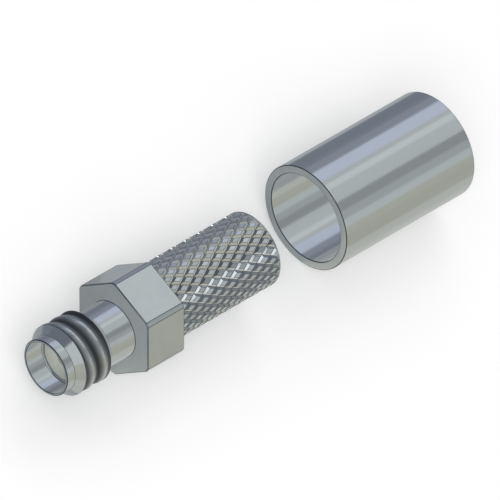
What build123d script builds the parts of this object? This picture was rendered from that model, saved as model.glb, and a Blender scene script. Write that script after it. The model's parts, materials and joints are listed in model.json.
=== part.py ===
"""Crimp-type coaxial cable connector with a socket interface, and its ferrule.

The axis is X. The origin is the centre of the nose's mouth, on its front face, and +X runs
towards the cable. Two of the hexagon's flats lie level, at the top and the bottom.
Lengths are in millimetres.
"""

import os
from math import cos, pi, sin, sqrt

from build123d import *

# Socket end: the thin nose and the bore that takes the mating plug
nose_wall = 0.23
nose_length = 0.90
nose_edge_break = 0.06
mouth_bore_diameter = 4.60
mouth_bore_depth = 1.88
mouth_floor_chamfer = 0.08

# Coupling thread: its full-diameter length, between two cones of equal slope
thread_major_diameter = 6.35
thread_length = 2.82
thread_cone_slope = 1.0

# Neck and hexagon
neck_wall = 0.475
neck_length = 2.77
hex_across_flats = 8.00
hex_corner_rise = 0.50
hex_length = 4.20

# Crimp barrel with its crossed diamond knurl
barrel_wall = 0.825
barrel_length = 11.73
knurl_starts = 24
knurl_rows = 15
knurl_depth = 0.25
knurl_top_share = 0.52

# Bores through the body
insulator_bore_diameter = 4.13
flange_bore_step = 0.285
flange_bore_length = 4.30
cable_bore_step = 0.20
cable_bore_depth = 10.80
cable_bore_lead_in = 0.15

# Insulator bead
insulator_clearance = 0.01
insulator_flange_length = 1.60

# Centre contact
contact_recess = 0.10
contact_diameter = 1.27
contact_clearance = 0.01
socket_bore_diameter = 0.95
socket_bore_depth = 3.10
socket_slot_width = 0.12
socket_slot_length = 2.50
socket_lead_in = 0.06
contact_front_length = 4.20
pot_diameter = 2.40
pot_gap = 0.12
pot_bore_diameter = 1.83
pot_bore_depth = 3.00
pot_sight_hole_diameter = 0.60

# Crimp ferrule, which stands off the barrel until it is slid home over the cable's braid
braid_space = 0.625
ferrule_wall = 0.75
ferrule_length = 15.00
ferrule_gap = 6.30

# Diameters: each bore steps out from the one before it, and each wall lies outside its bore
flange_bore_diameter = insulator_bore_diameter + 2 * flange_bore_step
cable_bore_diameter = flange_bore_diameter + 2 * cable_bore_step
nose_diameter = mouth_bore_diameter + 2 * nose_wall
neck_diameter = insulator_bore_diameter + 2 * neck_wall
hex_corner_diameter = hex_across_flats + 2 * hex_corner_rise
barrel_diameter = cable_bore_diameter + 2 * barrel_wall
ferrule_bore_diameter = barrel_diameter + 2 * braid_space
ferrule_diameter = ferrule_bore_diameter + 2 * ferrule_wall

# Stations along the axis, from the nose's front face
reference_plane = mouth_bore_depth
thread_start = nose_length + (thread_major_diameter - nose_diameter) / 2 / thread_cone_slope
thread_end = thread_start + thread_length
rear_cone_end = thread_end + (thread_major_diameter - neck_diameter) / 2 / thread_cone_slope
hex_start = rear_cone_end + neck_length
hex_end = hex_start + hex_length
barrel_end = hex_end + barrel_length
cable_stop = barrel_end - cable_bore_depth
bore_step = cable_stop - flange_bore_length
flange_end = bore_step + insulator_flange_length
contact_front = reference_plane + contact_recess
contact_shoulder = contact_front + contact_front_length
contact_end = cable_stop - pot_gap
ferrule_start = barrel_end + ferrule_gap


def turned(stations):
    """A solid turned about the X axis from its (x, radius) corners, closed along the axis."""
    corners = [(stations[0][0], 0), *stations, (stations[-1][0], 0)]
    profile = make_face(Polyline(*corners, close=True))
    return revolve(profile, Axis.X)


def rod(x_start, x_end, diameter):
    """A plain cylinder along the X axis."""
    return turned([(x_start, diameter / 2), (x_end, diameter / 2)])


def around(x, radius, angle):
    """The point at a station, a radius and an angle about the X axis."""
    return Vector(x, radius * cos(angle), radius * sin(angle))


def facet(*corners):
    """A flat face with these corners."""
    return Face(Wire.make_polygon(corners, close=True))


def knurled_bar():
    """The barrel's outside: V grooves of both hands cross and leave flat-topped diamonds.

    The grooves' roots cross at nodes. Those of one row lie midway between those of the next,
    so each diamond has a node west and east of it, and one north and south, a row away.
    Row 0 and the last row are the bar's two ends, where the diamonds are cut in half.
    """
    root_radius = barrel_diameter / 2 - knurl_depth
    pitch = 2 * pi / knurl_starts
    row_spacing = barrel_length / knurl_rows
    half_top = knurl_top_share * pitch / 2
    flat_radius = barrel_diameter / 2 * cos(half_top)

    # A flank is the plane through a groove's root and the top's west corner. The top's
    # north corner lies where that plane meets the line along the middle of the top.
    west = around(0, root_radius, -pitch / 2)
    groove = around(row_spacing, root_radius, 0) - west
    normal = groove.cross(around(0, barrel_diameter / 2, -half_top) - west)
    half_top_length = normal.dot(west - around(0, flat_radius, 0)) / normal.X

    def diamond(row, mid):
        x = hex_end + row * row_spacing
        west = around(x, root_radius, mid - pitch / 2)
        east = around(x, root_radius, mid + pitch / 2)
        top_west = around(x, barrel_diameter / 2, mid - half_top)
        top_east = around(x, barrel_diameter / 2, mid + half_top)
        faces = []
        top = [top_west]
        if row < knurl_rows:
            north = around(x + row_spacing, root_radius, mid)
            top_north = around(x + half_top_length, flat_radius, mid)
            faces.append(facet(west, north, top_north, top_west))
            faces.append(facet(north, east, top_east, top_north))
            top.append(top_north)
        top.append(top_east)
        if row > 0:
            south = around(x - row_spacing, root_radius, mid)
            top_south = around(x - half_top_length, flat_radius, mid)
            faces.append(facet(east, south, top_south, top_east))
            faces.append(facet(south, west, top_west, top_south))
            top.append(top_south)
        faces.append(facet(*top))
        return faces, [west, top_west, top_east]

    skin = []
    for row in range(knurl_rows + 1):
        rim = []
        for start in range(knurl_starts):
            faces, edge_points = diamond(row, (start + row % 2 / 2) * pitch)
            skin.extend(faces)
            rim.extend(edge_points)
        if row in (0, knurl_rows):
            skin.append(facet(*rim))
    return Solid(Shell(skin))


def hexagon():
    """The spanner hexagon, with its corners turned down to a round."""
    across_corners = hex_across_flats * 2 / sqrt(3)
    section = Plane.YZ.offset(hex_start) * RegularPolygon(across_corners / 2, 6)
    prism = extrude(section, hex_length)
    return prism & rod(hex_start, hex_end, hex_corner_diameter)


def connector_body():
    """The body, turned from one bar: nose, threaded part, neck, hexagon and crimp barrel."""
    nose_radius = nose_diameter / 2
    thread_radius = thread_major_diameter / 2
    neck_radius = neck_diameter / 2
    front = turned([
        (0, nose_radius - nose_edge_break),
        (nose_edge_break, nose_radius),
        (nose_length, nose_radius),
        (thread_start, thread_radius),
        (thread_end, thread_radius),
        (rear_cone_end, neck_radius),
        (hex_start, neck_radius),
    ])
    mouth_radius = mouth_bore_diameter / 2
    insulator_bore_radius = insulator_bore_diameter / 2
    flange_bore_radius = flange_bore_diameter / 2
    cable_bore_radius = cable_bore_diameter / 2
    bores = turned([
        (0, mouth_radius),
        (reference_plane - mouth_floor_chamfer, mouth_radius),
        (reference_plane, mouth_radius - mouth_floor_chamfer),
        (reference_plane, insulator_bore_radius),
        (bore_step, insulator_bore_radius),
        (bore_step, flange_bore_radius),
        (cable_stop, flange_bore_radius),
        (cable_stop, cable_bore_radius),
        (barrel_end - cable_bore_lead_in, cable_bore_radius),
        (barrel_end, cable_bore_radius + cable_bore_lead_in),
    ])
    return front + hexagon() + knurled_bar() - bores


def insulator():
    """The bead between contact and body. It goes in from the rear, up to its flange."""
    bead_radius = insulator_bore_diameter / 2 - insulator_clearance
    flange_radius = flange_bore_diameter / 2 - insulator_clearance
    bead = turned([
        (reference_plane, bead_radius),
        (bore_step, bead_radius),
        (bore_step, flange_radius),
        (flange_end, flange_radius),
    ])
    hole_radius = contact_diameter / 2 + contact_clearance
    recess_radius = pot_diameter / 2 + contact_clearance
    hole = turned([
        (reference_plane, hole_radius),
        (contact_shoulder, hole_radius),
        (contact_shoulder, recess_radius),
        (flange_end, recess_radius),
    ])
    return bead - hole


def centre_contact():
    """The slotted socket in front, and the pot for the cable's inner conductor behind."""
    outside = turned([
        (contact_front, contact_diameter / 2),
        (contact_shoulder, contact_diameter / 2),
        (contact_shoulder, pot_diameter / 2),
        (contact_end, pot_diameter / 2),
    ])
    socket_radius = socket_bore_diameter / 2
    socket = turned([
        (contact_front, socket_radius + socket_lead_in),
        (contact_front + socket_lead_in, socket_radius),
        (contact_front + socket_bore_depth, socket_radius),
    ])
    pot = rod(contact_end - pot_bore_depth, contact_end, pot_bore_diameter)
    slot_middle = contact_front + socket_slot_length / 2
    slots = [
        Pos(slot_middle, 0, 0) * Box(socket_slot_length, contact_diameter * 2, socket_slot_width),
        Pos(slot_middle, 0, 0) * Box(socket_slot_length, socket_slot_width, contact_diameter * 2),
    ]
    sight_hole = Pos(contact_end - pot_bore_depth / 2, 0, pot_diameter / 2) * Cylinder(
        pot_sight_hole_diameter / 2, pot_diameter
    )
    return outside - socket - pot - slots - sight_hole


def crimp_ferrule():
    """The plain tube that is slid over the cable's braid and crimped onto the barrel."""
    ferrule_end = ferrule_start + ferrule_length
    outside = rod(ferrule_start, ferrule_end, ferrule_diameter)
    return outside - rod(ferrule_start, ferrule_end, ferrule_bore_diameter)


pieces = {
    "connector_body": connector_body(),
    "insulator": insulator(),
    "centre_contact": centre_contact(),
    "crimp_ferrule": crimp_ferrule(),
}

os.makedirs("parts", exist_ok=True)
for name, piece in pieces.items():
    export_step(piece, f"parts/{name}.step")
    print(name, "volume", round(piece.volume, 3), "faces", len(piece.faces()))
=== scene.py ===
# %% [markdown]
# # A crimp connector for thin coaxial cable
#
# The real object is small: 24 mm of turned and plated brass, and a loose tube beside it. The
# body has a bored nose, a coarse thread, a neck, a spanner hexagon and a knurled barrel. Inside
# sit a white plastic bead and a gilt contact. The tube, the ferrule, is slid over the cable's
# braid and crimped down on the barrel.
#
# This lesson dresses a measured CAD model of it. The model comes first and never moves. What
# follows adds finer surfaces, the thread's turns, the finish of each metal, and a small studio.

import json
import math

import bmesh
import bpy
from mathutils import Matrix, Vector

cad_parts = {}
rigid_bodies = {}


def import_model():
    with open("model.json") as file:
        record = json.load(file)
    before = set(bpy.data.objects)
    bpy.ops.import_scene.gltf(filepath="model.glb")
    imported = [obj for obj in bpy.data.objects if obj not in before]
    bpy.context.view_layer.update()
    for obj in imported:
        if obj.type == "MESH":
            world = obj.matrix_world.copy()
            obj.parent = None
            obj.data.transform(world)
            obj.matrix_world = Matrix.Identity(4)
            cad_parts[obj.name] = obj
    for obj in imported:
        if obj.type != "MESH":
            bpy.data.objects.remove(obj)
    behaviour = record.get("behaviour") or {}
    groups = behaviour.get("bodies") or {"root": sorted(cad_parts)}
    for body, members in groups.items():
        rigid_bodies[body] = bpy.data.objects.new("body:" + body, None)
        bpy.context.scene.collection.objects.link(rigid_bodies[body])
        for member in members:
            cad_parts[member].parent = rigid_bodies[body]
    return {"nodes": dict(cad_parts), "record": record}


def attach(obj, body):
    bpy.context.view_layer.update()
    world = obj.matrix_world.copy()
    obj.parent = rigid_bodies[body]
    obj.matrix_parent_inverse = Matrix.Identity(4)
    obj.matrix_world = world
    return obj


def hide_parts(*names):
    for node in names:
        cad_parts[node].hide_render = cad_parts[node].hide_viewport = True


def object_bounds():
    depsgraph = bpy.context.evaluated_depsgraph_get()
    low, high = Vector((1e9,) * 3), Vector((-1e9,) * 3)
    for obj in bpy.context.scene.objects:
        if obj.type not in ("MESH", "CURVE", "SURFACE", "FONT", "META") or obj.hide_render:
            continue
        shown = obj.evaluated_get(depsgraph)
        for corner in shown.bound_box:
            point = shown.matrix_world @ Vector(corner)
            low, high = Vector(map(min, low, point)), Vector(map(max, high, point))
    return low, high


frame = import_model()
cad_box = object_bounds()
mm = 0.001
print("CAD box in mm:", [[round(value / mm, 2) for value in corner] for corner in cad_box])

# %% [markdown]
# ## The sizes that the looks need
#
# The record lists the model's mounts with their real sizes, so the thread's place and radius
# are read there and are typed nowhere. Only what the looks add gets a value here, such as the
# pitch and depth of the turns.

# %% Read the mounts and name the sizes
mounts = {mount["name"]: mount for mount in frame["record"]["mounts"]}

thread_mount = mounts["coupling_thread"]
thread_radius = thread_mount["dims"]["r_mm"] * mm
thread_length = thread_mount["dims"]["length_mm"] * mm
thread_start = thread_mount["pos_m"][0] - thread_length / 2
thread_end = thread_start + thread_length

thread_pitch = 1.41 * mm
thread_depth = 0.18 * mm
thread_run_out = 0.30 * mm
thread_crest = 2.18 * mm
thread_crest_angle = math.radians(105)
print("thread from", round(thread_start / mm, 3), "to", round(thread_end / mm, 3), "mm")

# %% [markdown]
# ## Nodes written as formulas
#
# A material or a Geometry Nodes tree is a formula drawn as boxes. Adding each box by hand takes
# five lines, and the formula gets lost. The class below wraps one output socket, so that plus,
# minus, times and divide add the Math nodes, and a formula in Python reads as it would on
# paper. Any other node comes from its one method, `node`. The same class serves both kinds of
# tree, because both have the same Math node.

# %% A small class for node formulas
class Wire:
    """An output socket of a tree. Arithmetic on it adds Math nodes to the same tree."""

    def __init__(self, tree, socket=None):
        self.tree = tree
        self.socket = socket

    def node(self, kind, settings=None, inputs=None, output=0):
        """Adds a node of any kind: first its settings, then its sockets' values or links."""
        made = self.tree.nodes.new(kind)
        for name, value in (settings or {}).items():
            setattr(made, name, value)
        for name, value in (inputs or {}).items():
            if isinstance(value, Wire):
                self.tree.links.new(value.socket, made.inputs[name])
            else:
                made.inputs[name].default_value = value
        return Wire(self.tree, made.outputs[output] if made.outputs else None)

    def other(self, name):
        """Another output of the node that this wire comes from."""
        return Wire(self.tree, self.socket.node.outputs[name])

    def math(self, operation, *values):
        return self.node("ShaderNodeMath", {"operation": operation}, dict(enumerate(values)))

    def __add__(self, value):
        return self.math("ADD", self, value)

    def __radd__(self, value):
        return self.math("ADD", value, self)

    def __sub__(self, value):
        return self.math("SUBTRACT", self, value)

    def __rsub__(self, value):
        return self.math("SUBTRACT", value, self)

    def __mul__(self, value):
        return self.math("MULTIPLY", self, value)

    def __rmul__(self, value):
        return self.math("MULTIPLY", value, self)

    def __truediv__(self, value):
        return self.math("DIVIDE", self, value)

    def __rtruediv__(self, value):
        return self.math("DIVIDE", value, self)

    def rise(self, low, high):
        """0 up to low and 1 from high on, with a soft S between them."""
        ends = {"Value": self, "From Min": low, "From Max": high}
        return self.node("ShaderNodeMapRange", {"interpolation_type": "SMOOTHSTEP"}, ends)


print("formulas work on", Wire.__name__)

# %% [markdown]
# ## The camera
#
# The picture is a true isometric view, with no perspective: circles round the connector's axis
# show as ellipses of 1 to 0.577. A very long lens, far away, gives almost the same view. The
# camera stands so that the axis rises at 30 degrees to the right. The width of the view and
# the target in its middle are given at the object, and the lens follows from them.

# %% Place the camera
def new_object(name, data):
    """Puts a new object with this mesh, camera or lamp into the scene."""
    made = bpy.data.objects.new(name, data)
    bpy.context.scene.collection.objects.link(made)
    return made


view_width = 41.02 * mm
view_target = Vector((23.52 * mm, 0, 0))
camera_distance = 1.57
isometric_axis = 1 / math.sqrt(3)
isometric_round = math.sqrt(2 / 3)
axis_in_picture = math.radians(30)

back = Vector((
    -isometric_axis,
    isometric_round * math.cos(thread_crest_angle),
    isometric_round * math.sin(thread_crest_angle),
))
along = (Vector((1, 0, 0)) - back * back.x).normalized()
across = back.cross(along)
right = along * math.cos(axis_in_picture) - across * math.sin(axis_in_picture)
up = along * math.sin(axis_in_picture) + across * math.cos(axis_in_picture)

lens = bpy.data.cameras.new("long_lens")
lens.sensor_width = 36
lens.lens = lens.sensor_width * camera_distance / view_width
camera = new_object("camera", lens)
camera.matrix_world = Matrix.Translation(view_target + back * camera_distance) @ (
    Matrix((right, up, back)).transposed().to_4x4()
)
bpy.context.scene.camera = camera
print("lens", round(lens.lens), "mm, camera at", [round(value, 3) for value in camera.location])

# %% [markdown]
# ## The studio: world and floor
#
# The picture's ground is white. White comes from the world's colour for the rays that look
# straight at it, and for those that metal reflects. The light that falls on the object stays
# at a plain level, so that its colours render about as they are written. For the same reason
# the picture is made with the plain Standard view, which bends no tones.

# %% World and floor
def new_material(name):
    """An empty material, and the wire that its formulas start from."""
    material = bpy.data.materials.new(name)
    material.use_nodes = True
    material.node_tree.nodes.clear()
    return material, Wire(material.node_tree)


def background_rays(start):
    """1 for the rays that see the background: camera, glossy and transmission rays."""
    path = start.node("ShaderNodeLightPath", output="Is Camera Ray")
    seen = path.math("MAXIMUM", path, path.other("Is Glossy Ray"))
    return path.math("MAXIMUM", seen, path.other("Is Transmission Ray"))


bpy.context.scene.view_settings.view_transform = "Standard"

world_light = 0.60
world = bpy.data.worlds.new("white_studio")
world.use_nodes = True
world.node_tree.nodes.clear()
start = Wire(world.node_tree)
strength = world_light + (1 - world_light) * background_rays(start)
light = start.node("ShaderNodeBackground", inputs={"Color": (1, 1, 1, 1), "Strength": strength})
start.node("ShaderNodeOutputWorld", inputs={"Surface": light})
bpy.context.scene.world = world

floor_half = 4.0
floor_glow = 0.17
floor_level = cad_box[0][2]
floor_corners = [(-floor_half, -floor_half), (floor_half, -floor_half),
                 (floor_half, floor_half), (-floor_half, floor_half)]
floor_mesh = bpy.data.meshes.new("floor")
floor_mesh.from_pydata([(x, y, floor_level) for x, y in floor_corners], [], [(0, 1, 2, 3)])
floor = new_object("floor", floor_mesh)

paper, start = new_material("white_paper")
sheet = start.node(
    "ShaderNodeBsdfPrincipled",
    inputs={
        "Base Color": (0.90, 0.90, 0.90, 1),
        "Roughness": 0.9,
        "Specular IOR Level": 0.1,
        "Emission Color": (1, 1, 1, 1),
        "Emission Strength": background_rays(start) * floor_glow,
    },
)
start.node("ShaderNodeOutputMaterial", inputs={"Surface": sheet})
floor_mesh.materials.append(paper)
print("floor at", round(floor_level / mm, 3), "mm")

# %% [markdown]
# ## The studio: lamps and cards
#
# Two broad soft lamps light what is matt. Bright metal shows nothing but its surroundings, so
# a photographer stands cards round it, dark ones too, and its form is drawn by their edges.
# Here the cards are strips of a long tunnel round the connector's axis, closed at both ends.
# Each runs between two angles, counted from the horizon behind the object up and over to the
# one in front.
#
# The tunnel has several bays along the axis. Plain cylinders look into the rear one, and faces
# that lean forward, such as the cone's, into the front one. The backs of the knurl's flanks look
# at the far end, and their fronts look into the three short bays in the middle. One small bright
# card there makes two rows of the flanks flash. More cards lie on the floor like tiles. All of
# them are seen in reflections only, and they light nothing matt and cast no shadow.

# %% Soft lamps
def soft_lamp(name, place, size, watts):
    """A square area lamp that looks at the middle of the object."""
    lamp = bpy.data.lights.new(name, "AREA")
    lamp.shape = "SQUARE"
    lamp.size = size
    lamp.energy = watts
    made = new_object(name, lamp)
    made.location = place
    made.rotation_euler = (Vector(place) - view_target).to_track_quat("Z", "Y").to_euler()
    made.visible_glossy = False
    made.visible_camera = False
    return made


key_lamp = soft_lamp("key_lamp", place=(-0.62, -0.42, 0.80), size=0.7, watts=5.0)
fill_lamp = soft_lamp("fill_lamp", place=(0.75, 0.60, 0.80), size=0.9, watts=2.4)
print("lamps:", key_lamp.name, fill_lamp.name)

# %% Make a card
card_radius = 0.30
card_step = 6
tunnel_front = -0.60
tunnel_rear = 0.80


def reflected_only(card, level, tint):
    """Gives a card its brightness and hides it from all rays but those that metal reflects."""
    glow, start = new_material(card.name)
    colour = (*(level * part for part in tint), 1)
    light = start.node("ShaderNodeEmission", inputs={"Color": colour, "Strength": 1.0})
    start.node("ShaderNodeOutputMaterial", inputs={"Surface": light})
    card.data.materials.append(glow)
    card.visible_camera = False
    card.visible_diffuse = False
    card.visible_shadow = False
    card.visible_transmission = False


def strip(name, points, ends, level, tint):
    """A card that runs along X between two ends, through (y, z) points."""
    rows = [[(x, y, z) for x in ends] for y, z in points]
    faces = [(2 * n, 2 * n + 1, 2 * n + 3, 2 * n + 2) for n in range(len(rows) - 1)]
    mesh = bpy.data.meshes.new(name)
    mesh.from_pydata([corner for row in rows for corner in row], [], faces)
    reflected_only(new_object(name, mesh), level, tint)


def curved_card(name, first_angle, last_angle, ends, level, tint):
    """A strip of the tunnel, between two angles in degrees."""
    count = max(2, round((last_angle - first_angle) / card_step) + 1)
    angles = [
        math.radians(first_angle + (last_angle - first_angle) * n / (count - 1))
        for n in range(count)
    ]
    arc = [(card_radius * math.cos(angle), card_radius * math.sin(angle)) for angle in angles]
    strip(name, arc, ends, level, tint)


def end_card(name, x, level, tint):
    """Closes one end of the tunnel."""
    side = 1.1 * card_radius
    mesh = bpy.data.meshes.new(name)
    corners = [(x, -side, floor_level), (x, side, floor_level), (x, side, side), (x, -side, side)]
    mesh.from_pydata(corners, [], [(0, 1, 2, 3)])
    reflected_only(new_object(name, mesh), level, tint)


print("the tunnel of cards is", 2 * card_radius, "m wide")

# %% Stand the cards round the connector
blue = (0.93, 1.00, 1.24)
pale = (0.95, 1.00, 1.06)
white = (1.00, 1.01, 0.98)
warm = (1.01, 1.02, 0.93)
bays = {
    "far": ((0.36, tunnel_rear), [
        (-1, 181, 0.22, blue),
    ]),
    "rear": ((0.05, 0.36), [
        (-1, 10, 0.27, blue),
        (10, 31, 0.34, blue),
        (31, 58, 0.67, blue),
        (58, 68, 0.59, pale),
        (68, 81, 0.75, pale),
        (81, 110, 0.62, pale),
        (110, 130, 0.37, pale),
        (130, 147, 0.48, pale),
        (147, 164, 0.62, pale),
        (164, 181, 0.53, warm),
    ]),
    "collar": ((0.011, 0.05), [
        (-1, 74, 0.21, blue),
        (74, 153, 0.71, pale),
        (153, 181, 0.54, warm),
    ]),
    "spark": ((-0.018, 0.011), [
        (-1, 25, 0.21, blue),
        (25, 48, 2.30, pale),
        (48, 118, 0.32, blue),
        (118, 150, 0.48, pale),
        (150, 181, 0.52, warm),
    ]),
    "hoop": ((-0.060, -0.018), [
        (-1, 118, 0.32, blue),
        (118, 150, 0.44, pale),
        (150, 181, 0.52, warm),
    ]),
    "front": ((tunnel_front, -0.060), [
        (-1, 74, 0.21, blue),
        (74, 153, 0.71, pale),
        (153, 181, 0.54, warm),
    ]),
}
for bay, (ends, strips) in bays.items():
    for number, (first_angle, last_angle, level, tint) in enumerate(strips):
        curved_card(f"{bay}_card_{number}", first_angle, last_angle, ends, level, tint)

tunnel = (tunnel_front, tunnel_rear)
nose_card_end = 5 * mm
neck_card_end = 15 * mm
barrel_card_end = 28 * mm
under_nose = (tunnel_front, nose_card_end)
under_neck = (nose_card_end, neck_card_end)
under_barrel = (neck_card_end, barrel_card_end)
past_nose = (nose_card_end, tunnel_rear)
past_barrel = (barrel_card_end, tunnel_rear)
floor_cards = {
    "dark_floor_flag": ((card_radius, 14 * mm), tunnel, 0.25, blue),
    "nose_floor_card": ((14 * mm, -4.5 * mm), under_nose, 0.42, pale),
    "neck_floor_card": ((14 * mm, 2.5 * mm), under_neck, 0.34, pale),
    "barrel_floor_card": ((14 * mm, 2.5 * mm), under_barrel, 0.46, pale),
    "ferrule_floor_card": ((14 * mm, 6.5 * mm), past_barrel, 0.46, pale),
    "bore_floor_card": ((6.5 * mm, 2.5 * mm), past_barrel, 0.36, pale),
    "middle_floor_card": ((2.5 * mm, -1.9 * mm), past_nose, 0.43, pale),
    "bright_floor_card": ((-1.9 * mm, -4.5 * mm), past_nose, 0.60, white),
    "near_floor_card": ((-4.5 * mm, -15 * mm), tunnel, 0.60, white),
    "warm_floor_card": ((-15 * mm, -card_radius), tunnel, 0.50, warm),
}
card_lift = 0.02 * mm
card_height = floor_level + card_lift
for name, (sides, ends, level, tint) in floor_cards.items():
    strip(name, [(y, card_height) for y in sides], ends, level, tint)
end_card("rear_end_card", tunnel_rear, 0.30, pale)
end_card("front_end_card", tunnel_front, 0.40, pale)
print("bays of cards:", list(bays))

# %% [markdown]
# ## The thread as one formula
#
# A thread is a wave that is wound round a cylinder. Going once round moves it along by one
# pitch. The turns in the picture are coarse and rounded, and right-handed, and they die out at
# both ends, where the rims stay plain circles. The formula is needed twice: the surface sinks
# by it, and the roots are painted darker by it, a painted shade. So it is written once, for
# any wire.

# %% The thread's wave
def thread_wave(x, angle, pitch, crest):
    """0 on a crest and 1 in a root, at a place along the axis and an angle about it."""
    turns = (x - crest) / pitch - (angle - thread_crest_angle) / math.tau
    return (1 - x.math("COSINE", turns * math.tau)) / 2


def thread_window(x, first, last, run_out):
    """1 along the thread and 0 outside it, with soft ends."""
    begins = x.rise(first, first + run_out)
    ends = x.rise(last - run_out, last)
    return begins - ends


print("turns along the thread:", round(thread_length / thread_pitch, 2))

# %% [markdown]
# ## Plated brass, fresh from the lathe
#
# Nickel over turned brass is a pale grey. The tool leaves fine rings, which follow one another
# along the axis on a cylinder and along the radius on a face, and one pattern in both does for
# every turned surface. The rings go into the bump and the roughness, and a broad, faint cloud
# varies the plating's tone. Cylinders are bright. End faces are duller, because the facing tool
# slows down towards the middle. Broken edges and rounds are painted dark and dull, which in the
# hollow rounds is painted shade, and the thread's roots are painted dark by the thread's own
# formula, a painted shade.

# %% Shared parts of the metal finishes
nickel = (0.64, 0.67, 0.65, 1)
# Painted shade for the roots of the thread and of the knurl.
root_shade_grey = (0.075, 0.08, 0.085, 1)
# Broken edges and rounds are painted this dark grey, which in the hollow rounds is painted shade.
edge_grey = (0.12, 0.13, 0.14, 1)
black = (0, 0, 0, 1)
bright = 0.10


def parts_of(point):
    """The x, y and z of a point, as three wires."""
    x = point.node("ShaderNodeSeparateXYZ", inputs={"Vector": point})
    return x, x.other("Y"), x.other("Z")


def place_of(start):
    """The point on the piece that is being shaded, as x, y and z."""
    return parts_of(start.node("ShaderNodeTexCoord", output="Object"))


def from_axis(y, z):
    """The distance of a place from the connector's axis."""
    return y.math("SQRT", y * y + z * z)


def grain(x, y, z):
    """Noise from 0 to 1 at a place that is given in grains."""
    spot = x.node("ShaderNodeCombineXYZ", inputs={"X": x, "Y": y, "Z": z})
    values = {"Vector": spot, "Scale": 1.0, "Detail": 2.0, "Roughness": 0.55}
    return x.node("ShaderNodeTexNoise", {"noise_dimensions": "3D"}, values)


def rings_of(x, radius, width):
    """Noise in rings about the axis, as a lathe's tool leaves them."""
    return grain(x / width, radius / width, 0)


def streaks_of(x, y, z, length, width):
    """Noise that is drawn out along the axis."""
    return grain(x / length, y / width, z / width)


def specks_of(x, y, z, size):
    """Noise with grains of one size in all directions."""
    return grain(x / size, y / size, z / size)


def blend(start, share, first, second):
    """A colour between two colours."""
    values = {0: share, 6: first, 7: second}
    return start.node("ShaderNodeMix", {"data_type": "RGBA"}, values, output=2)


def clouded(start, x, y, z, size, tint):
    """A tint with a broad, faint cloud over it."""
    return blend(start, 0.88 + 0.22 * specks_of(x, y, z, size), black, tint)


def metal(material, start, colour, roughness, height, depth):
    """Ends a metal's tree: its colour and roughness, and a height of some depth for the bump."""
    bumps = {"Height": height, "Strength": 1.0, "Distance": depth}
    inputs = {
        "Base Color": colour,
        "Metallic": 1.0,
        "Roughness": roughness,
        "Normal": start.node("ShaderNodeBump", inputs=bumps),
    }
    shader = start.node("ShaderNodeBsdfPrincipled", inputs=inputs)
    start.node("ShaderNodeOutputMaterial", inputs={"Surface": shader})
    return material


print("nickel", nickel[:3])

# %% Turned and faced nickel, and dark edges
def ringed_nickel(name, tint, dullness):
    """A tree of plating with the lathe's rings, up to its shader. A dullness of 0 is bright."""
    material, start = new_material(name)
    x, y, z = place_of(start)
    radius = from_axis(y, z)
    coarse_ring = 0.22 * mm
    fine_ring = 0.06 * mm
    cloud_size = 1.6 * mm
    coarse = rings_of(x, radius, coarse_ring)
    fine = rings_of(x, radius, fine_ring)
    tone = clouded(start, x, y, z, cloud_size, tint)
    roughness = bright + dullness + 0.07 * coarse + 0.04 * fine
    height = coarse + 0.5 * fine
    return material, start, tone, roughness, height


def turned_nickel():
    material, start, tone, roughness, height = ringed_nickel("turned_nickel", nickel, 0)
    x, y, z = place_of(start)
    fade = 0.02 * mm
    wave = thread_wave(x, x.math("ARCTAN2", z, y), thread_pitch, thread_crest)
    stretch = thread_window(x, thread_start, thread_end, fade)
    outside = from_axis(y, z).rise(thread_radius - 2 * thread_depth, thread_radius - thread_depth)
    root = wave * stretch * outside
    slope = root.math("POWER", root, 0.5)
    # The thread's roots are painted dark by its wave: a painted shade.
    colour = blend(start, slope, tone, root_shade_grey)
    return metal(material, start, colour, roughness + 0.42 * slope, height, depth=0.0015 * mm)


def faced_nickel():
    material, start, tone, roughness, height = ringed_nickel("faced_nickel", nickel, 0.30)
    return metal(material, start, tone, roughness, height, depth=0.0025 * mm)


# The finish of broken edges and rounds is a painted dark line, and in the hollow rounds a painted
# shade.
def edge_nickel():
    material, start, tone, roughness, height = ringed_nickel("edge_nickel", edge_grey, 0.25)
    return metal(material, start, tone, roughness, height, depth=0.0010 * mm)


turned = turned_nickel()
faced = faced_nickel()
edge_finish = edge_nickel()
print("made", turned.name, faced.name, edge_finish.name)

# %% [markdown]
# ## More finishes in plated metal
#
# The hexagon is cut from drawn bar, so its flats keep fine straight lines along the axis. The
# knurl is pressed in by two wheels, which leaves bright diamonds. Its roots are painted dark and
# dull, a painted shade. One flank of each diamond is painted dark, a painted shade, and the next
# bright and a little yellow, a painted light, by the way round that each faces. The ferrule is a
# length of bright drawn tube with faint streaks along it, and the bores have narrower ones. All
# of these differ from the lathe's rings only in where the grain runs, so each takes its place,
# scales it and asks for noise.

# %% Hexagon flats, knurl, ferrule and bores
# One flank of each diamond is painted dark, a painted shade, and the other pale, a painted light.
painted_shade_flank_grey = (0.38, 0.39, 0.39, 1)
painted_light_flank_white = (0.75, 0.76, 0.71, 1)


def milled_nickel():
    material, start = new_material("milled_nickel")
    x, y, z = place_of(start)
    line_length = 4.0 * mm
    line_width = 0.09 * mm
    cloud_size = 2.2 * mm
    lines = streaks_of(x, y, z, line_length, line_width)
    colour = clouded(start, x, y, z, cloud_size, nickel)
    return metal(material, start, colour, 0.16 + 0.10 * lines, lines, depth=0.0012 * mm)


def knurled_nickel(name, tint):
    material, start = new_material(name)
    x, y, z = place_of(start)
    grain_size = 0.12 * mm
    root_radius = 3.125 * mm
    root_shade_height = 0.03 * mm
    fine = specks_of(x, y, z, grain_size)
    # The bottoms of the grooves are painted dark and dull: a painted shade.
    above_root_shade = from_axis(y, z).rise(root_radius, root_radius + root_shade_height)
    colour = blend(start, above_root_shade, root_shade_grey, tint)
    roughness = 0.30 - 0.20 * above_root_shade + 0.04 * fine
    return metal(material, start, colour, roughness, fine, depth=0.0007 * mm)


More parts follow.
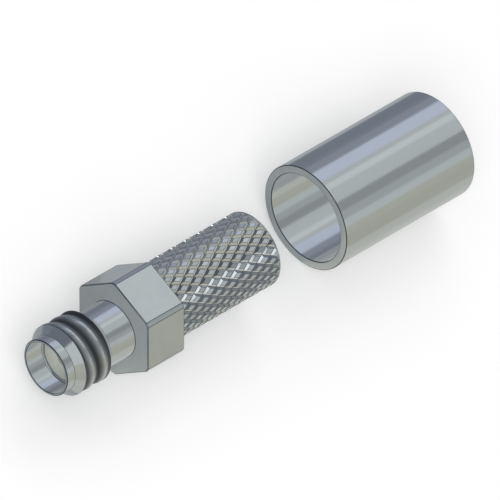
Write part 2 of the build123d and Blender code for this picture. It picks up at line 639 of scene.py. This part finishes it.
def drawn_nickel(name, streak_width, dullness):
    material, start = new_material(name)
    x, y, z = place_of(start)
    line_length = 7.0 * mm
    line_width = 0.13 * mm
    streak_length = 28.0 * mm
    streak_depth = 0.22
    lines = streaks_of(x, y, z, line_length, line_width)
    streaks = streaks_of(x, y, z, streak_length, streak_width)
    colour = blend(start, 1.0 + streak_depth * (0.5 - streaks), black, nickel)
    roughness = bright + dullness + 0.07 * lines
    return metal(material, start, colour, roughness, lines, depth=0.0006 * mm)


milled = milled_nickel()
knurled = knurled_nickel("knurled_nickel", nickel)
painted_shade_flank = knurled_nickel("scuffed_nickel", painted_shade_flank_grey)
painted_light_flank = knurled_nickel("burnished_nickel", painted_light_flank_white)
drawn = drawn_nickel("drawn_nickel", streak_width=3.0 * mm, dullness=0.0)
drawn_bore = drawn_nickel("drawn_bore", streak_width=0.9 * mm, dullness=0.02)
bored = drawn_nickel("bored_nickel", streak_width=0.55 * mm, dullness=0.04)
print("made", milled.name, knurled.name, painted_shade_flank.name, painted_light_flank.name)
print("made", drawn.name, drawn_bore.name, bored.name)

# %% [markdown]
# ## White plastic and gilt brass
#
# The bead is a slippery white plastic, a little translucent, faced on a lathe. The contact is
# gold plated, because gold never tarnishes where the mating pin slides. Both are seen only in
# the mouth and in the cable bore, but they are what the connector is for.

# %% Bead and contact finishes
shaded_plastic = (0.57, 0.60, 0.54, 1)
light_plastic = (0.64, 0.67, 0.61, 1)
shaded_gold = (0.30, 0.20, 0.07, 1)
gold = (0.83, 0.60, 0.25, 1)


def white_plastic():
    material, start = new_material("white_plastic")
    x, y, z = place_of(start)
    ring = 0.15 * mm
    cloud_size = 0.9 * mm
    rings = rings_of(x, from_axis(y, z), ring)
    cloud = specks_of(x, y, z, cloud_size)
    colour = blend(start, cloud, shaded_plastic, light_plastic)
    bumps = {"Height": rings, "Strength": 1.0, "Distance": 0.004 * mm}
    inputs = {
        "Base Color": colour,
        "Roughness": 0.38 + 0.14 * rings,
        "Normal": start.node("ShaderNodeBump", inputs=bumps),
        "Subsurface Weight": 0.15,
        "Subsurface Scale": 0.3 * mm,
    }
    shader = start.node("ShaderNodeBsdfPrincipled", inputs=inputs)
    start.node("ShaderNodeOutputMaterial", inputs={"Surface": shader})
    return material


def gilt_brass():
    material, start = new_material("gilt_brass")
    x, y, z = place_of(start)
    ring = 0.08 * mm
    rings = rings_of(x, from_axis(y, z), ring)
    colour = blend(start, 0.80 + 0.20 * rings, shaded_gold, gold)
    return metal(material, start, colour, 0.18 + 0.12 * rings, rings, depth=0.0012 * mm)


plastic = white_plastic()
gilt = gilt_brass()
print("made", plastic.name, gilt.name)

# %% [markdown]
# ## A lathe in Geometry Nodes
#
# Most of this object is turned, so its surfaces follow one rule: an outline goes once round the
# axis. Spinning the outline with an operator would do it, but a tree keeps the sizes open. It
# rounds the outline's corners first, because no real edge is sharp and the round catches light.
# Then it lays out a grid with one row for each point of the outline, and sends each grid point
# to its place: its row gives x and radius, and its column gives the angle.

# %% Build the lathe
weld = 0.001 * mm


def new_tree(name, sizes):
    """An empty Geometry Nodes tree with named inputs, and the wire of its incoming shape."""
    tree = bpy.data.node_groups.new(name, "GeometryNodeTree")
    tree.interface.new_socket("Shape", in_out="INPUT", socket_type="NodeSocketGeometry")
    for label, kind in sizes.items():
        tree.interface.new_socket(label, in_out="INPUT", socket_type="NodeSocket" + kind)
    tree.interface.new_socket("Shape", in_out="OUTPUT", socket_type="NodeSocketGeometry")
    return tree, Wire(tree).node("NodeGroupInput", output="Shape")


def end_tree(shape, mesh):
    """Ends a tree: it makes real mesh of any instances, and sets the material."""
    real = shape.node("GeometryNodeRealizeInstances", inputs={"Geometry": mesh})
    inputs = {"Geometry": real, "Material": shape.other("Material")}
    finished = shape.node("GeometryNodeSetMaterial", inputs=inputs)
    shape.node("NodeGroupOutput", inputs={"Shape": finished})


def lathe_tree():
    sizes = {"Edge Radius": "Float", "Edge Steps": "Int", "Segments": "Int", "Material": "Material"}
    tree, shape = new_tree("lathe", sizes)
    outline = shape.node("GeometryNodeMeshToCurve", inputs={"Mesh": shape})
    corners = {
        "Curve": outline,
        "Count": shape.other("Edge Steps"),
        "Radius": shape.other("Edge Radius"),
        "Limit Radius": True,
    }
    outline = shape.node("GeometryNodeFilletCurve", {"mode": "POLY"}, corners)
    rows = shape.node(
        "GeometryNodeAttributeDomainSize",
        {"component": "CURVE"},
        {"Geometry": outline},
        output="Point Count",
    )
    columns = shape.other("Segments") + 1
    grid = shape.node("GeometryNodeMeshGrid", inputs={"Vertices X": rows, "Vertices Y": columns})
    index = shape.node("GeometryNodeInputIndex")
    row = index.math("FLOOR", (index + 0.5) / columns)
    column = index - row * columns
    values = {
        "Geometry": outline,
        "Value": shape.node("GeometryNodeInputPosition"),
        "Index": row,
    }
    spot = shape.node("GeometryNodeSampleIndex", {"data_type": "FLOAT_VECTOR"}, values)
    x, radius, _ = parts_of(spot)
    angle = column / shape.other("Segments") * math.tau
    y = radius * x.math("COSINE", angle)
    z = radius * x.math("SINE", angle)
    place = shape.node("ShaderNodeCombineXYZ", inputs={"X": x, "Y": y, "Z": z})
    moved = {"Geometry": grid, "Position": place}
    closed = {"Geometry": shape.node("GeometryNodeSetPosition", inputs=moved), "Distance": weld}
    end_tree(shape, shape.node("GeometryNodeMergeByDistance", inputs=closed))
    return tree


lathe = lathe_tree()
print("lathe inputs:", [item.name for item in lathe.interface.items_tree])

# %% [markdown]
# ## A thread in Geometry Nodes
#
# The thread is rolled into the finished cylinder, so a second tree does just that: it takes the
# turned surface and pushes the points of its full-diameter stretch inwards by the wave. The
# bore lies inside the same stretch, and it is left alone because its radius is smaller.

# %% Build the thread and the way to run a tree
def thread_tree():
    labels = ("Start", "Length", "Radius", "Pitch", "Depth", "Crest", "Run Out")
    sizes = {label: "Float" for label in labels} | {"Material": "Material"}
    tree, shape = new_tree("rolled_thread", sizes)
    first = shape.other("Start")
    x, y, z = parts_of(shape.node("GeometryNodeInputPosition"))
    radius = from_axis(y, z)
    wave = thread_wave(x, x.math("ARCTAN2", z, y), shape.other("Pitch"), shape.other("Crest"))
    window = thread_window(x, first, first + shape.other("Length"), shape.other("Run Out"))
    scale = 1 - shape.other("Depth") * wave * window / radius
    place = shape.node("ShaderNodeCombineXYZ", inputs={"X": x, "Y": y * scale, "Z": z * scale})
    outside = x.math("GREATER_THAN", radius, shape.other("Radius") - shape.other("Depth"))
    inputs = {"Geometry": shape, "Selection": outside, "Position": place}
    end_tree(shape, shape.node("GeometryNodeSetPosition", inputs=inputs))
    return tree


def run_tree(tree, mesh, values):
    """Runs a tree on a mesh with these inputs, and returns the plain mesh that comes out."""
    holder = new_object("in_the_" + tree.name, mesh)
    modifier = holder.modifiers.new(tree.name, "NODES")
    modifier.node_group = tree
    for item in tree.interface.items_tree:
        if item.in_out == "INPUT" and item.name in values:
            modifier[item.identifier] = values[item.name]
    depsgraph = bpy.context.evaluated_depsgraph_get()
    made = bpy.data.meshes.new_from_object(holder.evaluated_get(depsgraph))
    holder.modifiers.remove(modifier)
    bpy.data.objects.remove(holder)
    return made


rolled_thread = thread_tree()
print("thread inputs:", [item.name for item in rolled_thread.interface.items_tree])

# %% [markdown]
# ## Outlines, read from the model
#
# The lathe needs the outline of each turned piece. The measured model already has it: every
# point of a turned surface lies on a ring, and a ring is one x and one radius. The helper below
# collects the rings of some faces and walks from one to the next. Corners are then all that is
# kept, apart from the thread's stretch, which is cut into many short steps for its wave.

# %% Read an outline
ring_digits = 7


def radius_of(vertex):
    return math.hypot(vertex.co.y, vertex.co.z)


def ring_of(vertex):
    """The ring that a point of a turned surface lies on: its x and its radius."""
    return round(vertex.co.x, ring_digits), round(radius_of(vertex), ring_digits)


def walk_rings(faces, first=None):
    """The rings of some turned faces in order, from a first one."""
    beside = {}
    for edge in {edge for face in faces for edge in face.edges}:
        here, there = (ring_of(vertex) for vertex in edge.verts)
        if here != there:
            beside.setdefault(here, set()).add(there)
            beside.setdefault(there, set()).add(here)
    path = [first or min(beside)]
    while onward := beside[path[-1]] - set(path):
        path.append(min(onward, key=lambda ring: math.dist(ring, path[-1])))
    return path


def corners_only(path):
    """The path without the points that lie on a straight line between their neighbours."""
    kept = [path[0]]
    for here, onward in zip(path[1:], path[2:]):
        before = kept[-1]
        one_step = (here[0] - before[0], here[1] - before[1])
        next_step = (onward[0] - here[0], onward[1] - here[1])
        if abs(one_step[0] * next_step[1] - one_step[1] * next_step[0]) > weld * weld:
            kept.append(here)
    return kept + [path[-1]]


def outline_mesh(name, path):
    """The path as a chain of edges, with x along X and the radius along Y."""
    mesh = bpy.data.meshes.new(name)
    edges = [(n, n + 1) for n in range(len(path) - 1)]
    mesh.from_pydata([(x, radius, 0) for x, radius in path], edges, [])
    return mesh


def cad_copy(node):
    """A copy of a CAD node with its loose triangles joined up."""
    made = bmesh.new()
    made.from_mesh(frame["nodes"][node].data)
    bmesh.ops.remove_doubles(made, verts=made.verts, dist=weld / 10)
    return made


print("rings are told apart to", round(10 ** -ring_digits / mm, 4), "mm")

# %% [markdown]
# ## The body, part one: what was turned
#
# On the real part one bar is turned, bored and threaded, and only then are the flats and the
# knurl made. Here the CAD faces are split the same way. The hexagon is found as what reaches
# farthest out. Its faces and the knurl's are kept: they lie behind the neck and outside the
# bores. All the others are turned, and the lathe makes them again with rounder rings and broken
# edges, as one surface from the hexagon over the nose, through the bores and out at the back.

# %% Turn the body
segments = 120
edge_radius = 0.05 * mm
edge_steps = 3
thread_steps = 90
seam_width = 0.10 * mm
hexagon_reach = 1.2 * thread_radius
bore_margin = 0.3 * mm
widest_bore = mounts["cable_bore"]["dims"]["r_mm"] * mm + bore_margin

body = cad_copy("connector_body")
hex_start = min(vertex.co.x for vertex in body.verts if radius_of(vertex) > hexagon_reach)
kept_faces = {
    face for face in body.faces
    if min(vertex.co.x for vertex in face.verts) > hex_start - weld
    and max(radius_of(vertex) for vertex in face.verts) > widest_bore
}
turned_faces = [face for face in body.faces if face not in kept_faces]
neck_end = max(ring_of(vertex) for face in turned_faces for vertex in face.verts
               if vertex.co.x < hex_start + weld)
body_outline = corners_only(walk_rings(turned_faces, neck_end))
print("body outline in mm:", [(round(x / mm, 3), round(r / mm, 3)) for x, r in body_outline])


def cut_thread_stretch(path):
    """The path with the thread's straight stretch cut into short steps."""
    cut = [path[0]]
    for here, there in zip(path, path[1:]):
        on_thread = min(here[1], there[1]) > thread_radius - weld
        steps = thread_steps if on_thread else 1
        for n in range(1, steps + 1):
            share = n / steps
            cut.append(tuple(a + (b - a) * share for a, b in zip(here, there)))
    return cut


seams = [body_outline[0], body_outline[-1]]
lips = [(x, radius + seam_width) for x, radius in seams]
full_outline = [lips[0]] + cut_thread_stretch(body_outline) + [lips[1]]
lathe_sizes = {"Edge Radius": edge_radius, "Edge Steps": edge_steps, "Segments": segments}
turned_mesh = run_tree(
    lathe, outline_mesh("body_outline", full_outline), lathe_sizes | {"Material": turned}
)
print("turned:", len(turned_mesh.vertices), "points")

# %% Roll the thread into it
thread_sizes = {
    "Start": thread_start, "Length": thread_length, "Radius": thread_radius,
    "Pitch": thread_pitch, "Depth": thread_depth, "Crest": thread_crest,
    "Run Out": thread_run_out, "Material": turned,
}
threaded_mesh = run_tree(rolled_thread, turned_mesh, thread_sizes)
print("threaded:", len(threaded_mesh.polygons), "faces")

# %% [markdown]
# ## The body, part two: hexagon and knurl
#
# The faces that were kept are flat, so the CAD mesh already has their exact form. Their edges
# are broken by a small chamfer, as a deburring wheel leaves them: wide on the hexagon, and a
# hair's width round each diamond. The chamfers are painted dark and dull, a painted dark line
# which sets each flat and each diamond off from the next. Then both halves are joined by two
# thin rings, in the plane of the hexagon's front and in that of the barrel's end, so that the
# body is one closed skin. The open loops of the kept faces are moved out first, by the width
# of these rings.

# %% Move the open loops out and break the edges
hex_edge = 0.06 * mm
strip_edge = 0.03 * mm
diamond_edge = 0.020 * mm
least_turn = math.radians(18)
flat_to_flat = math.radians(60)
across_a_groove = math.radians(80)
barrel_end = seams[1][0]
loop_move = 1.5 * seam_width
hex_end = max(vertex.co.x for vertex in body.verts if radius_of(vertex) > hexagon_reach)

bmesh.ops.delete(body, geom=turned_faces, context="FACES")
for vertex in body.verts:
    x, radius = ring_of(vertex)
    for seam_x, seam_radius in seams:
        if abs(x - seam_x) < weld and abs(radius - seam_radius) < weld:
            vertex.co.yz = vertex.co.yz * (radius + loop_move) / radius


def breaks(edge):
    """The width of the chamfer on an edge, or 0 where it has none."""
    if not edge.is_manifold or edge.calc_face_angle_signed() < least_turn:
        return 0
    turn = edge.calc_face_angle()
    if min(radius_of(vertex) for vertex in edge.verts) > hexagon_reach:
        return hex_edge if turn > flat_to_flat else strip_edge
    at_ends = [min(abs(v.co.x - hex_end), abs(v.co.x - barrel_end)) < weld for v in edge.verts]
    return 0 if all(at_ends) or turn > across_a_groove else diamond_edge


def chamfer(mesh, edges, width, clamp=False):
    """Breaks some edges of a mesh by one flat, and returns the new faces."""
    made = bmesh.ops.bevel(
        mesh, geom=edges, offset=width, segments=1, profile=0.5,
        affect="EDGES", clamp_overlap=clamp,
    )
    print(len(edges), "edges broken by", round(width / mm, 3), "mm")
    return made["faces"]


broken = set()
for width in (hex_edge, strip_edge, diamond_edge):
    broken.update(chamfer(body, [edge for edge in body.edges if breaks(edge) == width], width))

# %% Give each face its finish
# The least cosine between a face's direction and the one that it has to look in.
along_axis = 0.95
into_bore = 0.2
flank_forward = 0.2
flank_sideways = 0.4


def inward(face):
    """How far a face looks at the axis: 1 straight at it, and -1 straight away from it."""
    middle = face.calc_center_median()
    return -face.normal.yz.dot(middle.yz.normalized())


def turned_finish(face, corners, reach, outside, inside):
    """The finish of a turned face: an edge's, an end face's, a bore's or the outside's."""
    middle = face.calc_center_median()
    place = (middle.x, middle.yz.length)
    if min(math.dist(place, corner) for corner in corners) < reach:
        return edge_finish
    if abs(face.normal.x) > along_axis:
        return faced
    return inside if inward(face) > into_bore else outside


def cut_finish(face):
    """The finish of a flat face: an edge's, an end face's, the hexagon's or the knurl's."""
    middle = face.calc_center_median()
    if face in broken:
        return edge_finish
    if abs(face.normal.x) > along_axis:
        return faced
    if middle.x < hex_end - weld:
        return milled
    round_about = Vector((0, -middle.z, middle.y)).normalized()
    leads = face.normal.dot(round_about)
    if face.normal.x > -flank_forward or abs(leads) < flank_sideways:
        return knurled
    # Flanks that face back round the axis are painted dark, a painted shade, and the others pale, a
    # painted light.
    return painted_shade_flank if leads < 0 else painted_light_flank


finishes = [turned, faced, bored, edge_finish, milled, knurled, painted_shade_flank, painted_light_flank]
body.normal_update()
for face in body.faces:
    face.material_index = finishes.index(cut_finish(face))
print("finishes on the body:", [finish.name for finish in finishes])

# %% [markdown]
# ## The rim of the barrel
#
# In the picture the barrel ends in a smooth round edge, as if the knurling stopped a hair short
# of it. Such a plain rim is what the turner leaves so that the braid isn't cut. The lathe turns
# it as a small ring that fills the grooves at the barrel's very end. It stands proud of the end
# face by a few thousandths of a millimetre, so that the two faces don't fight for one plane.

# %% Turn the rim and join the two halves
rim_width = 0.10 * mm
rim_height = 0.30 * mm
rim_edge = 0.02 * mm
rim_proud = 0.004 * mm
barrel_radius = max(radius_of(vertex) for vertex in body.verts if vertex.co.x > hex_end + weld)
rim_start = barrel_end + rim_proud - rim_width
rim_foot = barrel_radius - rim_height
rim_corners = [
    (barrel_end + rim_proud, rim_foot),
    (rim_start, rim_foot),
    (rim_start, barrel_radius),
    (barrel_end + rim_proud, barrel_radius),
]
rim_opening = [(barrel_end + rim_proud, barrel_radius - rim_height / 2)]
rim_sizes = lathe_sizes | {"Edge Radius": rim_edge, "Material": turned}
rim_outline = outline_mesh("rim_outline", rim_opening + rim_corners + rim_opening)


def loops_at(mesh, x):
    """The open edges of a mesh in the plane of one x."""
    return [edge for edge in mesh.edges
            if edge.is_boundary and all(abs(vertex.co.x - x) < weld for vertex in edge.verts)]


cut_faces = set(body.faces)
body.from_mesh(threaded_mesh)
for seam_x, seam_radius in seams:
    bmesh.ops.bridge_loops(body, edges=loops_at(body, seam_x))
body.from_mesh(run_tree(lathe, rim_outline, rim_sizes))
bmesh.ops.recalc_face_normals(body, faces=body.faces)
for face in set(body.faces) - cut_faces:
    on_rim = all(v.co.x > rim_start - weld and radius_of(v) > rim_foot - weld for v in face.verts)
    corners, reach = (rim_corners, rim_edge) if on_rim else (body_outline, edge_radius)
    face.material_index = finishes.index(turned_finish(face, corners, reach, turned, bored))
print("open edges left:", sum(not edge.is_manifold for edge in body.edges))

# %% [markdown]
# ## Shading that keeps flats flat
#
# A curved surface is drawn smooth by blending the directions of the faces round each point. On
# a flat beside a small round that blending would bend the reflections, so the blend is weighted
# by area: the large face wins, and the round takes up the turn. Real edges stay sharp. On the
# body a smaller turn counts as an edge, because the chamfer between two flanks of a diamond
# halves their turn, and blended flanks would lose their flash.
#
# The pieces are hidden from reflections. In the picture the metal mirrors its surroundings and
# never itself, so the bores are as bright as the outside, and this gives the same.

# %% Finish a mesh as a piece
sharp_angle = math.radians(24)
knurl_sharp_angle = math.radians(10)
area_weight = 90


def finish_piece(name, mesh_data, materials, node, body_name, sharp=sharp_angle):
    """Turns a bmesh into a finished piece that stands for a CAD node."""
    mesh = bpy.data.meshes.new(name)
    mesh_data.to_mesh(mesh)
    mesh_data.free()
    # Normals that came along with the CAD mesh would override the shading below.
    if "custom_normal" in mesh.attributes:
        mesh.attributes.remove(mesh.attributes["custom_normal"])
    for material in materials:
        mesh.materials.append(material)
    mesh.shade_smooth()
    mesh.set_sharp_from_angle(angle=sharp)
    piece = new_object(name, mesh)
    weighting = piece.modifiers.new("weighting", "WEIGHTED_NORMAL")
    weighting.keep_sharp = True
    weighting.weight = area_weight
    depsgraph = bpy.context.evaluated_depsgraph_get()
    piece.data = bpy.data.meshes.new_from_object(piece.evaluated_get(depsgraph))
    piece.data.name = name
    piece.modifiers.clear()
    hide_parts(node)
    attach(piece, body_name)
    piece.visible_glossy = False
    triangles = sum(len(face.vertices) - 2 for face in piece.data.polygons)
    print(name, "has", triangles, "triangles")
    return piece


finish_piece(
    "plated_body", body, finishes, "connector_body", "connector",
    sharp=knurl_sharp_angle,
)

# %% [markdown]
# ## The ferrule and the bead
#
# Both are turned and have a hole right through, so the lathe makes them whole. The outline of
# such a piece is a closed loop. It is cut open in the middle of one straight side, so that all
# its corners are rounded, and the two ends meet again when the lathe merges its points.

# %% Turn the closed pieces
def turn_closed(node, sizes):
    """Turns a CAD node whose outline is a closed loop, as a bmesh."""
    source = cad_copy(node)
    path = walk_rings(source.faces)
    middle = tuple((a + b) / 2 for a, b in zip(path[0], path[-1]))
    path = corners_only([middle] + path + [middle])
    source.free()
    print(node, "outline in mm:", [(round(x / mm, 3), round(r / mm, 3)) for x, r in path])
    made = bmesh.new()
    made.from_mesh(run_tree(lathe, outline_mesh(node + "_outline", path), sizes))
    bmesh.ops.recalc_face_normals(made, faces=made.faces)
    return made, path[1:-1]


tube_edge = 0.07 * mm
tube_segments = 160
ferrule_sizes = lathe_sizes | {
    "Edge Radius": tube_edge, "Segments": tube_segments, "Material": drawn,
}
ferrule, tube_corners = turn_closed("crimp_ferrule", ferrule_sizes)
tube_finishes = [drawn, faced, drawn_bore, edge_finish]
for face in ferrule.faces:
    finish = turned_finish(face, tube_corners, tube_edge, drawn, drawn_bore)
    face.material_index = tube_finishes.index(finish)
finish_piece("ferrule_tube", ferrule, tube_finishes, "crimp_ferrule", "ferrule")

bead_edge = 0.04 * mm
bead_sizes = lathe_sizes | {"Edge Radius": bead_edge, "Material": plastic}
bead, _ = turn_closed("insulator", bead_sizes)
finish_piece("plastic_bead", bead, [plastic], "insulator", "connector")

# %% [markdown]
# ## The contact
#
# The contact is turned too, but its front is slit into four springy fingers and its pot has a
# sight hole, so an outline alone can't give its form. The CAD mesh has it all. A copy is joined
# up and its long edges are broken, because slit fingers are tumbled before they are gilt.

# %% Copy the contact
contact_edge = 0.015 * mm
contact_turn = math.radians(60)
shortest_edge = 4 * contact_edge
contact = cad_copy("centre_contact")
contact_edges = [
    edge for edge in contact.edges
    if edge.is_manifold and edge.calc_face_angle_signed() > contact_turn
    and edge.calc_length() > shortest_edge
]
chamfer(contact, contact_edges, contact_edge, clamp=True)
finish_piece("gilt_contact", contact, [gilt], "centre_contact", "connector")
